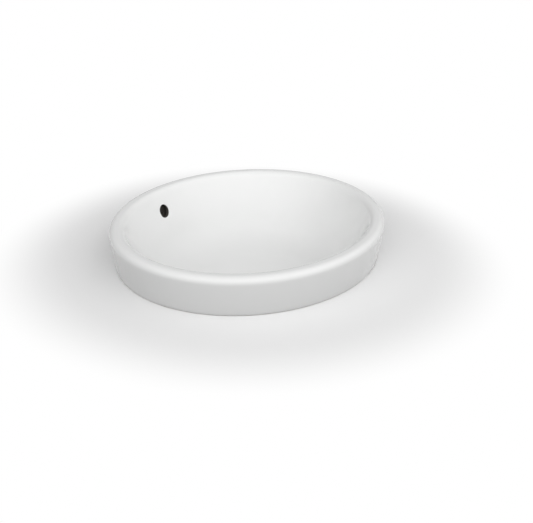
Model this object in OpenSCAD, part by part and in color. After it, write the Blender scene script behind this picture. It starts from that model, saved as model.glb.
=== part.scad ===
// Oval countertop basin with a raised band, a deep bowl that goes down through
// the counter, an overflow channel and a push-button waste.
// The origin is at counter level under the middle of the bowl.
// +X runs to the user's right, +Y to the back (the overflow side), +Z up.

/* [Basin outline] */
// Length of the basin from side to side
basin_l = 550; // [500:5:600]
// Depth of the basin from front to back
basin_d = 495; // [450:5:540]
// Height of the crown of the rim above the counter
band_h = 73; // [62:1:84]
// How far the band draws in from its widest line down to the counter
band_draw = 9.5; // [6:0.5:13]
// Thickness of the band's skirt where it stands on the counter
skirt_t = 11; // [9:0.5:12]

/* [Rim] */
// Width of the outer shoulder of the rim
shoulder_w = 13; // [10:0.5:15]
// Height of the outer shoulder of the rim
shoulder_h = 10; // [8:0.5:13]
// Width of the crown between the two roundings
crown_w = 4; // [3:0.5:6]
// Width of the inner brow that rolls over into the bowl
brow_w = 12; // [10:0.5:14]
// Height of the inner brow
brow_h = 10; // [8:0.5:12]

/* [Bowl] */
// Depth from the crown of the rim to the seat of the waste
bowl_depth = 158; // [150:1:166]
// Lean of the bowl's wall from upright, in degrees
wall_lean = 24; // [21:1:26]
// Radius where the wall turns into the floor
turn_r = 100; // [85:5:110]
// Fall of the floor towards the waste, in degrees
floor_fall = 5; // [4:0.5:7]
// Thickness of the china
china_t = 9; // [8:0.5:10]

/* [Overflow] */
// Diameter of the overflow hole
overflow_d = 25; // [22:1:27]
// Distance from the crown of the rim down to the middle of the overflow hole
overflow_drop = 40; // [38:1:44]
// Width of the water's channel behind the wall
channel_w = 34; // [30:1:38]
// Thickness of the water's channel from wall to wall
channel_t = 8; // [7:0.5:9]

/* [Waste] */
// Outer diameter of the waste's thread
thread_d = 41.9; // [41.5:0.1:42.3]
// Diameter of the hole in the china
china_hole_d = 45; // [44:0.5:46]
// Outer diameter of the waste's flange
flange_d = 65; // [63:0.5:68]
// Bore of the waste
waste_bore_d = 36; // [35:0.5:37]
// Length of the waste from the top of the flange to the outlet
waste_l = 96; // [90:1:105]
// Length of the thread at the outlet that the trap's nut goes on
outlet_thread_l = 25; // [20:1:26]
// Height of the china boss, from the seat of the waste to its underside
boss_l = 38; // [36:1:42]
// Diameter of the china boss
boss_d = 84; // [82:1:90]

/* [Plug] */
// Diameter of the plug's cap
cap_d = 62; // [58:0.5:64]
// Lift of the plug between shut and open
plug_lift = 8; // [6:0.5:8]
// Diameter of the plunger rod
rod_d = 6; // [5.6:0.1:6.4]

/* [Hidden] */

// How far one solid runs into another where they are joined or cut
bite = 1;
// Gap all round a rod or a tooth that slides
slide_gap = 0.08;
// Gap between solids that pass each other without touching
pass_gap = 0.3;

// Half sizes of the outside and of the bowl's mouth, and the ratio of depth to length of each
out_a = basin_l / 2;
out_b = basin_d / 2;
rim_w = shoulder_w + crown_w + brow_w;
in_a = out_a - rim_w;
in_b = out_b - rim_w;
out_ratio = out_b / out_a;
in_ratio = in_b / in_a;

// The brow's arc stops where it leans as the wall does, and the wall's line goes on from there.
// It passes this far inside the brow's own end.
brow_end = atan(tan(wall_lean) * brow_h / brow_w);
wall_in = brow_h * sin(brow_end) * tan(wall_lean) - brow_w * (1 - cos(brow_end));

// Levels of the china: under the brow, at the waste's seat, under the boss, at the overflow
brow_z = band_h - brow_h;
seat_z = band_h - bowl_depth;
boss_z = seat_z - boss_l;
overflow_z = band_h - overflow_drop;

// Recess in the floor that the flange lies in
recess_r = flange_d / 2 + 2;
recess_t = 5.5;
floor_z = seat_z + recess_t;

// The port in the boss through which the overflow channel meets the waste
port_h = 12;
port_z = seat_z - 14;

// The waste's flange, gaskets and nut, from the top down
gasket_t = 1.5;
flange_z = seat_z + gasket_t;
thread_r = thread_d / 2;
bore_r = waste_bore_d / 2;
outlet_z = floor_z - waste_l;
outlet_thread_z = outlet_z + 1 + outlet_thread_l;
relief_h = 2;
relief_t = 0.8;

// The smooth stretch of the outlet's bore, which ends in a groove below the cartridge
outlet_bore_l = 46;
outlet_groove_z = outlet_z + outlet_bore_l;
boss_gasket_t = 6;
washer_t = 1.5;
nut_t = 10;
nut_flats = 54;
washer_r = 29.5;
boss_gasket_r = 31;
washer_z = boss_z - boss_gasket_t - washer_t;
nut_z = washer_z - nut_t;

// The flange's dish, a cone from the rim down to the bore
dish_r = flange_d / 2 - 2;
dish_slope = 0.2;

// The three-armed hub in the waste and the cartridge that it holds
hub_top_z = floor_z - 6.5;
hub_t = 4.5;
hub_r = 9.5;
arm_w = 3.5;
housing_r = 7;
housing_bore_r = 5.5;
housing_lip_t = 1.5;
housing_floor_t = 2;
housing_top_z = hub_top_z + housing_lip_t;
housing_l = 40;
sleeve_l = 10;

// The moving pieces at rest, with the plug up
rod_r = rod_d / 2;
key_w = 1.4;
key_r = rod_r + 1.4;
head_t = 3.6;
head_z = housing_top_z - sleeve_l - head_t - pass_gap;
rotor_t = 4;
rotor_z = head_z - rotor_t - slide_gap;
rotor_r = housing_bore_r - 0.4;
spigot_r = 1.8;
spigot_reach = 2;
spring_wire_r = 0.4;
spring_turns = 7;

// The cap, and its height above the flange when shut
cap_shut_gap = 0.8;
cap_z = floor_z + cap_shut_gap + plug_lift;
cap_edge_t = 2.5;
cap_dome_h = 3;
cap_boss_r = 6;
cap_boss_drop = 3;
rod_bite = 2;
seal_r = cap_d / 2 - 5;
seal_w = 3;
seal_bite = 1.2;
seal_gap = 0.2;

// Points of an ellipse arc with middle c and half sizes w and h, from one angle to another
function arc(c, w, h, from, to, steps) =
    [for (i = [0:steps]) c + [w * cos(from + (to - from) * i / steps), h * sin(from + (to - from) * i / steps)]];

function reversed(list) = [for (i = [len(list) - 1:-1:0]) list[i]];

// The wall and the floor of the bowl are two straight lines with an arc between them,
// here at an offset o outwards from the glazed surface.
function wall_x(z, o) = in_a - wall_in - (brow_z - z) * tan(wall_lean) + o / cos(wall_lean);
function floor_y(x, o) = floor_z + (x - recess_r) * tan(floor_fall) - o / cos(floor_fall);

// Where the two lines would meet
function corner_x(o) =
    (wall_x(0, o) + floor_y(0, o) * tan(wall_lean)) / (1 - tan(floor_fall) * tan(wall_lean));
function corner(o) = [corner_x(o), floor_y(corner_x(o), o)];

// Middle of the arc that joins them
turn_angle = 90 - wall_lean - floor_fall;
function turn_mid(o) =
    corner(o)
    - (turn_r + o) * tan(turn_angle / 2) * [cos(floor_fall), sin(floor_fall)]
    + (turn_r + o) * [-sin(floor_fall), cos(floor_fall)];

// The bowl's line at an offset, from the wall at height z_top down to the floor at distance x_end
function bowl_line(o, z_top, x_end) = concat(
    [[wall_x(z_top, o), z_top]],
    arc(turn_mid(o), turn_r + o, turn_r + o, -wall_lean, floor_fall - 90, 10),
    [[x_end, floor_y(x_end, o)]]
);

// The same line in the plane from front to back, where the oval is drawn in
function across(points) = [for (p = points) [p[0] * in_ratio, p[1]]];

// Height of the flange's dish at a distance from the middle
function dish_z(r) = floor_z - (dish_r - r) * dish_slope;

// A profile turned round the middle and drawn in from front to back, made as four quarters
module oval(ratio) {
    for (x = [0, 1], y = [0, 1])
        mirror([x, 0, 0])
            mirror([0, y, 0])
                scale([1, ratio, 1])
                    rotate_extrude(angle = 90, $fn = 96)
                        children();
}

// A drawing in the plane from front to back, made as thick as w along X
module thick_across(w) {
    translate([-w / 2, 0, 0])
        rotate([90, 0, 90])
            linear_extrude(height = w)
                children();
}

// A flat ring
module ring(r_in, r_out, z, t) {
    translate([0, 0, z])
        difference() {
            cylinder(r = r_out, h = t, $fn = 96);
            translate([0, 0, -bite])
                cylinder(r = r_in, h = t + 2 * bite, $fn = 96);
        }
}

// Everything inside the glazed surface, up past the crown
module bowl_hollow() {
    mouth = in_a + brow_w;
    oval(in_ratio)
        polygon(concat(
            [[0, band_h + bite], [mouth, band_h + bite]],
            arc([mouth, brow_z], brow_w, brow_h, 90, 180 - brow_end, 6),
            bowl_line(0, brow_z - bite, 0)
        ));
}

// The outside of the bowl as a solid, from under the brow down to the floor
module bowl_outside() {
    oval(in_ratio)
        polygon(concat(
            [[0, brow_z - bite]],
            bowl_line(china_t, brow_z - bite, 0)
        ));
}

// The rim and the band, cut off flat where they stand on the counter
module band() {
    foot_x = out_a - band_draw;
    widest_z = band_h - shoulder_h;
    inner_x = wall_x(0, -2 * china_t);
    difference() {
        intersection() {
            oval(out_ratio)
                polygon(concat(
                    [[inner_x, -bite], [foot_x - bite * band_draw / widest_z, -bite]],
                    arc([out_a - shoulder_w, widest_z], shoulder_w, shoulder_h, 0, 90, 6),
                    [[inner_x, band_h]]
                ));
            translate([-out_a - bite, -out_b - bite, 0])
                cube([basin_l + 2 * bite, basin_d + 2 * bite, band_h + bite]);
        }
        under_rim_groove(foot_x - skirt_t, inner_x);
    }
}

// The open groove between the band's skirt and the bowl's wall
module under_rim_groove(skirt_x, inner_x) {
    roof_z = brow_z - china_t / 2;
    roof_x = skirt_x + band_draw * roof_z / band_h - 2;
    roof_chamfer = 6;
    difference() {
        oval(out_ratio)
            polygon([
                [inner_x, -bite],
                [skirt_x, -bite],
                [roof_x, roof_z - roof_chamfer],
                [roof_x - roof_chamfer, roof_z],
                [inner_x, roof_z]
            ]);
        oval(in_ratio)
            polygon([
                [0, -2 * bite],
                [wall_x(-2 * bite, china_t), -2 * bite],
                [wall_x(roof_z + bite, china_t), roof_z + bite],
                [0, roof_z + bite]
            ]);
    }
}

// The swelling at the back that holds the overflow channel
module channel_swell() {
    top_z = brow_z - bite;
    reach = 2 * china_t + channel_t - 2;
    end_x = boss_d / 2 - 6;
    thick_across(channel_w + 2 * china_t)
        polygon(concat(
            across(bowl_line(reach, top_z, end_x)),
            across(reversed(bowl_line(china_t / 2, top_z, end_x)))
        ));
}

// The overflow channel, from behind its hole down to the port in the boss
module overflow_channel() {
    top_z = overflow_z + overflow_d / 2 + 2;
    near = china_t - 1;
    port_x = boss_d / 2 + 2 * china_t;
    port_end = china_hole_d / 4;
    thick_across(channel_w)
        polygon(concat(
            across(bowl_line(near + channel_t, top_z, port_x)),
            [[port_end, port_z - port_h / 2], [port_end, port_z + port_h / 2]],
            across(reversed(bowl_line(near, top_z, port_x)))
        ));
}

// The overflow hole, from the bowl through the wall into the channel
module overflow_hole() {
    wall_y = wall_x(overflow_z, 0) * in_ratio;
    reach = 2 * china_t;
    translate([0, wall_y - reach, overflow_z])
        rotate([-90, 0, 0])
            cylinder(d = overflow_d, h = reach + china_t + channel_t / 2, $fn = 64);
}

// The china, cast in one piece and glazed all over but for the foot of the band
module basin() {
    color("white")
        difference() {
            union() {
                band();
                bowl_outside();
                channel_swell();
                translate([0, 0, boss_z])
                    cylinder(d = boss_d, h = floor_z - boss_z, $fn = 96);
            }
            bowl_hollow();
            overflow_channel();
            overflow_hole();
            translate([0, 0, seat_z])
                cylinder(r = recess_r, h = recess_t + china_t, $fn = 96);
            translate([0, 0, boss_z - bite])
                cylinder(d = china_hole_d, h = boss_l + 2 * bite, $fn = 96);
        }
}

// The waste: a dished flange on a threaded tube, with four overflow slots and a three-armed hub
module waste_body() {
    flange_r = flange_d / 2;
    slot_w = 12;
    slot_h = port_h + 1;
    color("gainsboro")
        difference() {
            union() {
                rotate_extrude($fn = 96)
                    polygon([
                        [bore_r, outlet_z],
                        [thread_r - 1, outlet_z],
                        [thread_r, outlet_z + 1],
                        [thread_r, outlet_thread_z],
                        [thread_r - relief_t, outlet_thread_z],
                        [thread_r - relief_t, outlet_thread_z + relief_h],
                        [thread_r, outlet_thread_z + relief_h],
                        [thread_r, flange_z],
                        [flange_r, flange_z],
                        [flange_r, floor_z - 1],
                        [flange_r - 1, floor_z],
                        [dish_r, floor_z],
                        [bore_r + 2, dish_z(bore_r + 2)],
                        [bore_r, dish_z(bore_r) - 2],
                        [bore_r, outlet_groove_z + relief_h],
                        [bore_r + relief_t, outlet_groove_z + relief_h],
                        [bore_r + relief_t, outlet_groove_z],
                        [bore_r, outlet_groove_z]
                    ]);
                hub();
            }
            for (turn = [0:90:270])
                rotate([0, 0, turn])
                    translate([bore_r - 2, -slot_w / 2, port_z - slot_h / 2])
                        cube([thread_r - bore_r + 4, slot_w, slot_h]);
        }
}

// The hub and its arms, bored for the cartridge
module hub() {
    translate([0, 0, hub_top_z - hub_t])
        difference() {
            union() {
                cylinder(r = hub_r, h = hub_t, $fn = 64);
                for (turn = [30:120:270])
                    rotate([0, 0, turn])
                        translate([0, -arm_w / 2, 0])
                            cube([bore_r + 1, arm_w, hub_t]);
            }
            translate([0, 0, -bite])
                cylinder(r = housing_r, h = hub_t + 2 * bite, $fn = 64);
        }
}

module flange_gasket() {
    color("dimgray")
        ring(thread_r + pass_gap, flange_d / 2 - 1.5, seat_z, gasket_t);
}

// The rubber under the boss, tapered on its underside
module boss_gasket() {
    inner_r = thread_r + 0.15;
    color("black")
        rotate_extrude($fn = 96)
            polygon([
                [inner_r, boss_z],
                [boss_gasket_r, boss_z],
                [boss_gasket_r, boss_z - boss_gasket_t / 2],
                [washer_r - 2, boss_z - boss_gasket_t],
                [inner_r, boss_z - boss_gasket_t]
            ]);
}

module slip_washer() {
    color("whitesmoke")
        ring(thread_r + 0.15, washer_r, washer_z, washer_t);
}

// A hexagon nut with its corners turned off on the lower side
module backnut() {
    corner_r = nut_flats / 2 / cos(30);
    color("goldenrod")
        translate([0, 0, nut_z])
            difference() {
                intersection() {
                    cylinder(r = corner_r, h = nut_t, $fn = 6);
                    rotate_extrude($fn = 96)
                        polygon([
                            [0, 0],
                            [nut_flats / 2, 0],
                            [corner_r + 1, 2.5],
                            [corner_r + 1, nut_t],
                            [0, nut_t]
                        ]);
                }
                translate([0, 0, -bite])
                    cylinder(r = thread_r + 0.04, h = nut_t + 2 * bite, $fn = 96);
            }
}

// The cup that holds the spring, with a lip that rests on the hub and a hole in its floor
module cartridge_housing() {
    vent_r = 1.5;
    bottom_z = housing_top_z - housing_l;
    inside_z = bottom_z + housing_floor_t;
    color("ivory")
        rotate_extrude($fn = 64)
            polygon([
                [vent_r, bottom_z],
                [housing_r - 1, bottom_z],
                [housing_r - 0.02, bottom_z + 1],
                [housing_r - 0.02, hub_top_z],
                [hub_r - 0.5, hub_top_z],
                [hub_r - 0.5, housing_top_z],
                [housing_bore_r, housing_top_z],
                [housing_bore_r, inside_z],
                [vent_r, inside_z]
            ]);
}

// The collar that closes the housing, with four keyways for the plunger's keys
module guide_sleeve() {
    keyway_w = key_w + 2 * slide_gap;
    sleeve_z = housing_top_z - sleeve_l;
    color("slategray")
        difference() {
            ring(rod_r + slide_gap, housing_bore_r - 0.02, sleeve_z, sleeve_l);
            for (turn = [0:90:270])
                rotate([0, 0, turn])
                    translate([0, -keyway_w / 2, sleeve_z - bite])
                        cube([key_r + slide_gap, keyway_w, sleeve_l + 2 * bite]);
        }
}

// The rod that lifts the cap, with four keys that stop it turning and a head that presses on the rotor
module plunger() {
    head_r = housing_bore_r - 0.6;
    head_top_z = head_z + head_t;
    key_top_z = housing_top_z - 0.5;
    rod_top_z = cap_z + rod_bite;
    color("lightsteelblue")
        union() {
            translate([0, 0, head_z])
                cylinder(r = rod_r, h = rod_top_z - head_z, $fn = 48);
            translate([0, 0, head_z])
                cylinder(r = head_r, h = head_t, $fn = 48);
            for (turn = [0:90:270])
                rotate([0, 0, turn])
                    translate([rod_r - bite, -key_w / 2, head_top_z - bite])
                        cube([key_r - rod_r + bite, key_w, key_top_z - head_top_z + bite]);
            translate([0, 0, rotor_z - spigot_reach])
                cylinder(r = spigot_r, h = head_z - rotor_z + spigot_reach + bite, $fn = 32);
        }
}

// The rotor, a ring on the plunger's spigot with eight teeth round it
module cam_rotor() {
    ring_r = rotor_r - 0.7;
    tooth_w = 1.4;
    color("orange")
        difference() {
            union() {
                translate([0, 0, rotor_z])
                    cylinder(r = ring_r, h = rotor_t, $fn = 48);
                for (turn = [0:45:315])
                    rotate([0, 0, turn])
                        translate([0, -tooth_w / 2, rotor_z])
                            cube([rotor_r - 0.1, tooth_w, rotor_t - 1]);
            }
            translate([0, 0, rotor_z - bite])
                cylinder(r = spigot_r + slide_gap, h = rotor_t + 2 * bite, $fn = 32);
        }
}

// The wire's middle at a share t of its length. The first and the last turn lie close, as on any
// pressed coil, and the turns between them rise evenly.
coil_r = rotor_r - spring_wire_r - 0.1;
coil_low_z = housing_top_z - housing_l + housing_floor_t + spring_wire_r;
coil_high_z = rotor_z - spring_wire_r - 0.1;
close_pitch = 2 * spring_wire_r + 0.6;
close_part = 1 / spring_turns;
function coil_rise(t) =
    close_pitch * (min(t, close_part) + max(0, t - 1 + close_part)) / close_part
    + (coil_high_z - coil_low_z - 2 * close_pitch)
    * min(1, max(0, (t - close_part) / (1 - 2 * close_part)));
function coil_point(t, r, up) = [
    r * cos(360 * spring_turns * t),
    r * sin(360 * spring_turns * t),
    coil_low_z + coil_rise(t) + up
];

// One closed tube swept along the coil
module cartridge_spring() {
    sides = 8;
    rings = spring_turns * 16;
    points = [
        for (i = [0:rings], k = [0:sides - 1])
            coil_point(
                i / rings,
                coil_r + spring_wire_r * cos(360 * k / sides),
                spring_wire_r * sin(360 * k / sides)
            )
    ];
    faces = concat(
        [for (i = [0:rings - 1], k = [0:sides - 1])
            let (a = i * sides + k, b = i * sides + (k + 1) % sides)
            for (corners = [[a, b + sides, a + sides], [a, b, b + sides]]) corners],
        [for (k = [1:sides - 2]) [0, k + 1, k]],
        [for (k = [1:sides - 2]) [rings * sides, rings * sides + k, rings * sides + k + 1]]
    );
    gaps = [
        for (i = [0:rings - 16])
            norm(coil_point((i + 16) / rings, coil_r, 0) - coil_point(i / rings, coil_r, 0))
            - 2 * spring_wire_r
    ];
    echo(least_gap_between_turns = min(gaps));
    color("silver")
        polyhedron(points = points, faces = faces);
}

// The domed cap, grooved below for its seal and bored for the rod
module plug_cap() {
    cap_r = cap_d / 2;
    boss_bottom_z = cap_z - cap_boss_drop;
    color("gainsboro")
        difference() {
            rotate_extrude($fn = 96)
                polygon(concat(
                    [
                        [0, boss_bottom_z],
                        [cap_boss_r, boss_bottom_z],
                        [cap_boss_r, cap_z],
                        [cap_r - 1, cap_z],
                        [cap_r, cap_z + 1]
                    ],
                    arc([0, cap_z + cap_edge_t], cap_r, cap_dome_h, 8, 90, 8)
                ));
            ring(seal_r - seal_w / 2, seal_r + seal_w / 2, cap_z - bite, bite + seal_bite);
            translate([0, 0, boss_bottom_z - bite])
                cylinder(r = rod_r, h = cap_boss_drop + bite + rod_bite, $fn = 48);
        }
}

// The rubber ring in the cap's groove, cut to the slope of the dish that it seals on
module cap_seal() {
    inner_r = seal_r - seal_w / 2;
    outer_r = seal_r + seal_w / 2;
    lift = plug_lift + seal_gap;
    color("black")
        rotate_extrude($fn = 96)
            polygon([
                [inner_r, cap_z + seal_bite],
                [inner_r, dish_z(inner_r) + lift],
                [outer_r, dish_z(outer_r) + lift],
                [outer_r, cap_z + seal_bite]
            ]);
}

basin();
waste_body();
flange_gasket();
boss_gasket();
slip_washer();
backnut();
cartridge_housing();
guide_sleeve();
cartridge_spring();
plunger();
cam_rotor();
plug_cap();
cap_seal();
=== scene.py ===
# %% [markdown]
# # An oval countertop basin
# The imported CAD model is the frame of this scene. It says where each piece is and which body carries
# it. Over it come finer pieces, a finish for each, a camera and soft light. Sizes below are in
# millimetres, as on a drawing, and MM turns them into Blender's metres.

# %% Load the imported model
import math

import bmesh
import bpy
from mathutils import Matrix, Vector


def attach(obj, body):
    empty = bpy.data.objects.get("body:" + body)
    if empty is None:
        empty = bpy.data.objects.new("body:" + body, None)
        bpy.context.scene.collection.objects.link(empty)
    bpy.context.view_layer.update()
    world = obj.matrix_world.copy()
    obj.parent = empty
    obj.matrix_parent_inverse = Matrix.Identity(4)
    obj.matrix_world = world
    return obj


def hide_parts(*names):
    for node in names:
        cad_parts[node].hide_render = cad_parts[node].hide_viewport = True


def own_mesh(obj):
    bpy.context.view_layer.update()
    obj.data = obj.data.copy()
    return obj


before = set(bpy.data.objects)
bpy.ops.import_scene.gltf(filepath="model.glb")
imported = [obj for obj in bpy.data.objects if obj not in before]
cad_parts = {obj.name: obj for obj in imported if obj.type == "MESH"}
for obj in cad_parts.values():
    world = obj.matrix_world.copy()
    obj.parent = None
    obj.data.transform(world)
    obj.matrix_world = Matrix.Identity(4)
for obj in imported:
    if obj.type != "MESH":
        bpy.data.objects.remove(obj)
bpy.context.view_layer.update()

scene = bpy.context.scene
MM = 0.001
print("nodes:", ", ".join(sorted(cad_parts)))

# %% [markdown]
# ## Two small tools for node trees
# Materials and Geometry Nodes are both trees of nodes, so one way of writing them serves both. A Wire
# is the output of a node. Sums and products of wires add the Math nodes that work them out, which
# keeps a formula readable. Every other node comes from Board.add: its settings go in first, because
# some of them change which sockets it has, and then its values and links.

# %% Wires that can be added and multiplied
class Wire:
    def __init__(self, board, socket):
        self.board, self.socket = board, socket

    def math(self, operation, *others):
        return self.board.maths(operation, self, *others)

    def __add__(self, other):
        return self.board.maths("ADD", self, other)

    def __radd__(self, other):
        return self.board.maths("ADD", other, self)

    def __sub__(self, other):
        return self.board.maths("SUBTRACT", self, other)

    def __rsub__(self, other):
        return self.board.maths("SUBTRACT", other, self)

    def __mul__(self, other):
        return self.board.maths("MULTIPLY", self, other)

    def __rmul__(self, other):
        return self.board.maths("MULTIPLY", other, self)

    def __truediv__(self, other):
        return self.board.maths("DIVIDE", self, other)

    def __rtruediv__(self, other):
        return self.board.maths("DIVIDE", other, self)


# %% A board that nodes are put on
class Board:
    def __init__(self, tree):
        self.tree = tree

    def add(self, kind, settings=None, inputs=None, out=0):
        made = self.tree.nodes.new(kind)
        for name, value in (settings or {}).items():
            setattr(made, name, value)
        for name, value in (inputs or {}).items():
            if isinstance(value, Wire):
                self.tree.links.new(value.socket, made.inputs[name])
            else:
                made.inputs[name].default_value = value
        return Wire(self, made.outputs[out]) if made.outputs else made

    def maths(self, operation, *terms):
        return self.add("ShaderNodeMath", {"operation": operation}, dict(enumerate(terms)))

    def vectors(self, operation, *terms, out=0):
        return self.add("ShaderNodeVectorMath", {"operation": operation}, dict(enumerate(terms)), out)

    def mix(self, share, first, second):
        return self.add("ShaderNodeMix", {"data_type": "RGBA"}, {0: share, 6: first, 7: second}, 2)

    def soft_step(self, value, low, high):
        return self.add(
            "ShaderNodeMapRange",
            {"interpolation_type": "SMOOTHSTEP"},
            {"Value": value, "From Min": low, "From Max": high},
        )

    def axes(self, vector):
        split = self.add("ShaderNodeSeparateXYZ", None, {0: vector}).socket.node
        return [Wire(self, socket) for socket in split.outputs]

    def rays(self):
        path = self.add("ShaderNodeLightPath").socket.node
        kinds = ("Is Camera Ray", "Is Glossy Ray", "Is Transmission Ray")
        return [Wire(self, path.outputs[kind]) for kind in kinds]


# %% [markdown]
# ## The finish of the china
# Sanitary china is fired at about 1200 degrees under a thick white glaze. Seen close, the glaze is a
# clear coat over a white body: it mirrors softly, lies in slow waves and has a faint orange peel. It is
# wiped off where the piece stands in the kiln, so the foot is bare, matt and a little warm. A plain
# white plastic would miss all of that. The coat is a little rough, because a sharper one draws dark
# lines where the china mirrors itself. The pattern reads Object coordinates, so it sticks to the piece
# from any side. The foot is found by its height and by its distance from the axis, measured in an
# oval. A noise scale counts blotches to the metre: 34 gives clouds 30 mm wide, 620 the orange peel.

# %% Start a material with its board and its shader
def new_material(name):
    material = bpy.data.materials.new(name)
    material.use_nodes = True
    material.node_tree.nodes.clear()
    board = Board(material.node_tree)
    board.place = board.add("ShaderNodeTexCoord", None, None, "Object")
    return material, board


def finish_material(material, board, inputs):
    shader = board.add("ShaderNodeBsdfPrincipled", None, inputs)
    board.add("ShaderNodeOutputMaterial", None, {"Surface": shader})
    print("material:", material.name, len(board.tree.nodes), "nodes")
    return material


def noise(board, scale, detail, roughness=0.5, vector=None):
    return board.add(
        "ShaderNodeTexNoise",
        None,
        {"Vector": vector or board.place, "Scale": scale, "Detail": detail, "Roughness": roughness},
    )


def bump(board, height, depth, strength, under=None):
    inputs = {"Height": height, "Distance": depth, "Strength": strength}
    if under:
        inputs["Normal"] = under
    return board.add("ShaderNodeBump", None, inputs)


# %% White glaze over a fired body, bare at the foot
def white_glaze(foot_from=245, foot_low=0.9, foot_high=2.1, ragged=1.4, squeeze=1.235):
    material, board = new_material("white_glaze")
    x, y, z = board.axes(board.place)
    slow = noise(board, 9.0, 1.0)
    cloud = noise(board, 34.0, 3.0)
    peel = noise(board, 620.0, 2.0)
    far = (x * x + y * y * squeeze).math("SQRT")
    height = z.math("ABSOLUTE") + cloud * (ragged * MM)
    low = 1.0 - board.soft_step(height, foot_low * MM, foot_high * MM)
    bare = low * far.math("GREATER_THAN", foot_from * MM)
    body = board.mix(cloud, (0.845, 0.85, 0.845, 1), (0.86, 0.862, 0.858, 1))
    colour = board.mix(bare, body, (0.70, 0.66, 0.59, 1))
    waves = bump(board, slow, 0.5 * MM, 0.5)
    fine = bump(board, peel, 0.012 * MM, 0.6, waves)
    return finish_material(material, board, {
        "Base Color": colour,
        "Roughness": 0.12 + 0.05 * cloud + 0.60 * bare,
        "Normal": fine,
        "IOR": 1.52,
        "Coat Weight": 0.85 - 0.85 * bare,
        "Coat Roughness": 0.18,
        "Specular IOR Level": 0.25,
        "Coat IOR": 1.5,
    })


glaze = white_glaze()

# %% [markdown]
# ## The china body
# The basin is cast in one piece: a rolled rim, the band that it stands on, the bowl, a swelling at the
# back for the overflow channel, and the boss for the waste. Each of its lines is an oval, so it could
# be turned and squeezed, lofted, or sculpted. Here one closed profile is swept round by Geometry Nodes
# as on a lathe, because every ring follows the same rule: its point on the profile, times an oval.
# Each point carries its own depth-to-length ratio, and a second place for it in the swelling at the
# back.

# %% Sizes of the china, as in the drawing
IN_A, BROW_W, BROW_H = 246.0, 12.0, 10.0
OUT_RATIO, IN_RATIO = 247.5 / 275.0, 218.5 / 246.0
BAND_H, BROW_Z, FLOOR_Z, SEAT_Z, BOSS_Z = 73.0, 63.0, -79.5, -85.0, -123.0
LEAN, FALL, TURN_R, CHINA_T = math.radians(24), math.radians(5), 100.0, 9.0
BROW_END = math.atan(math.tan(LEAN) * BROW_H / BROW_W)
WALL_IN = BROW_H * math.sin(BROW_END) * math.tan(LEAN) - BROW_W * (1 - math.cos(BROW_END))
RECESS_R, HOLE_R, BOSS_R = 34.5, 22.5, 42.0
FOOT_X, SKIRT_X, BAND_LEAN = 265.5, 254.5, 9.5 / 73.0
OVERFLOW_Z, OVERFLOW_R = 33.0, 12.5
SWELL_T, SWELL_ROOF = 24.0, 20.0


def wall_x(z, out=0.0):
    return IN_A - WALL_IN - (BROW_Z - z) * math.tan(LEAN) + out / math.cos(LEAN)


def floor_z(x, out=0.0):
    return FLOOR_Z + (x - RECESS_R) * math.tan(FALL) - out / math.cos(FALL)


def turn_point(share, out=0.0):
    level_x = wall_x(0, out) + floor_z(0, out) * math.tan(LEAN)
    corner_x = level_x / (1 - math.tan(FALL) * math.tan(LEAN))
    radius = TURN_R + out
    back = radius * math.tan((math.pi / 2 - LEAN - FALL) / 2)
    middle_x = corner_x - back * math.cos(FALL) - radius * math.sin(FALL)
    middle_z = floor_z(corner_x, out) - back * math.sin(FALL) + radius * math.cos(FALL)
    angle = (FALL - math.pi / 2) * (1 - share) - LEAN * share
    return middle_x + radius * math.cos(angle), middle_z + radius * math.sin(angle)


wall_end, floor_end = ([round(v, 1) for v in turn_point(share)] for share in (1, 0))
print("bowl's wall ends at", wall_end, "and its floor at", floor_end)

# %% Lines, bends and ellipse arcs for a profile
def line(start, end, steps):
    return [tuple(a + (b - a) * i / steps for a, b in zip(start, end)) for i in range(steps + 1)]


def bend(start, pull_1, pull_2, end, steps):
    weights = [((1 - t) ** 3, 3 * t * (1 - t) ** 2, 3 * t * t * (1 - t), t ** 3)
               for t in (i / steps for i in range(steps + 1))]
    return [tuple(sum(w * p[k] for w, p in zip(ws, (start, pull_1, pull_2, end))) for k in (0, 1))
            for ws in weights]


def fillet(corner, before, after, radius, steps):
    ends = []
    for other in (before, after):
        way = (Vector(other) - Vector(corner)).normalized()
        ends.append(Vector(corner) + way * radius)
    start, end = ends
    mid_1 = start.lerp(Vector(corner), 0.55)
    mid_2 = end.lerp(Vector(corner), 0.55)
    return bend(tuple(start), tuple(mid_1), tuple(mid_2), tuple(end), steps)


# %% The glazed side of the profile, from the waste out to the foot
def smooth(share):
    share = min(1.0, max(0.0, share))
    return share * share * (3 - 2 * share)


def inside_profile():
    recess = line((HOLE_R + 0.8, SEAT_Z), (RECESS_R - 1.5, SEAT_Z), 3)
    corner = fillet((RECESS_R, SEAT_Z), (0, SEAT_Z), (RECESS_R, 0), 1.4, 3)
    lip = fillet((RECESS_R, floor_z(RECESS_R)), (RECESS_R, SEAT_Z), (100, floor_z(100)), 1.8, 4)
    rest = line((40, floor_z(40)), turn_point(0), 12)
    points = [(x, z, 1.0) for x, z in recess + corner[1:] + [(RECESS_R, -82.4)] + lip]
    round_to, oval_over = 38, 60
    points += [(x, z, 1 + (IN_RATIO - 1) * smooth((x - round_to) / oval_over)) for x, z in rest]
    points += [(*turn_point(i / 30), IN_RATIO) for i in range(1, 30)]
    start_z, even_from, even_step = turn_point(1)[1], 12, 3
    heights = [start_z + (even_from - start_z) * i / 6 for i in range(6)]
    heights += [even_from + even_step * i for i in range(15)] + [57, 59.5]
    points += [(wall_x(z), z, IN_RATIO) for z in heights]
    brow = bend((wall_x(61.5), 61.5), (wall_x(68.8), 68.8), (251.6, BAND_H), (259.5, BAND_H), 16)
    return points + [(x, z, IN_RATIO) for x, z in brow]


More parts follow.
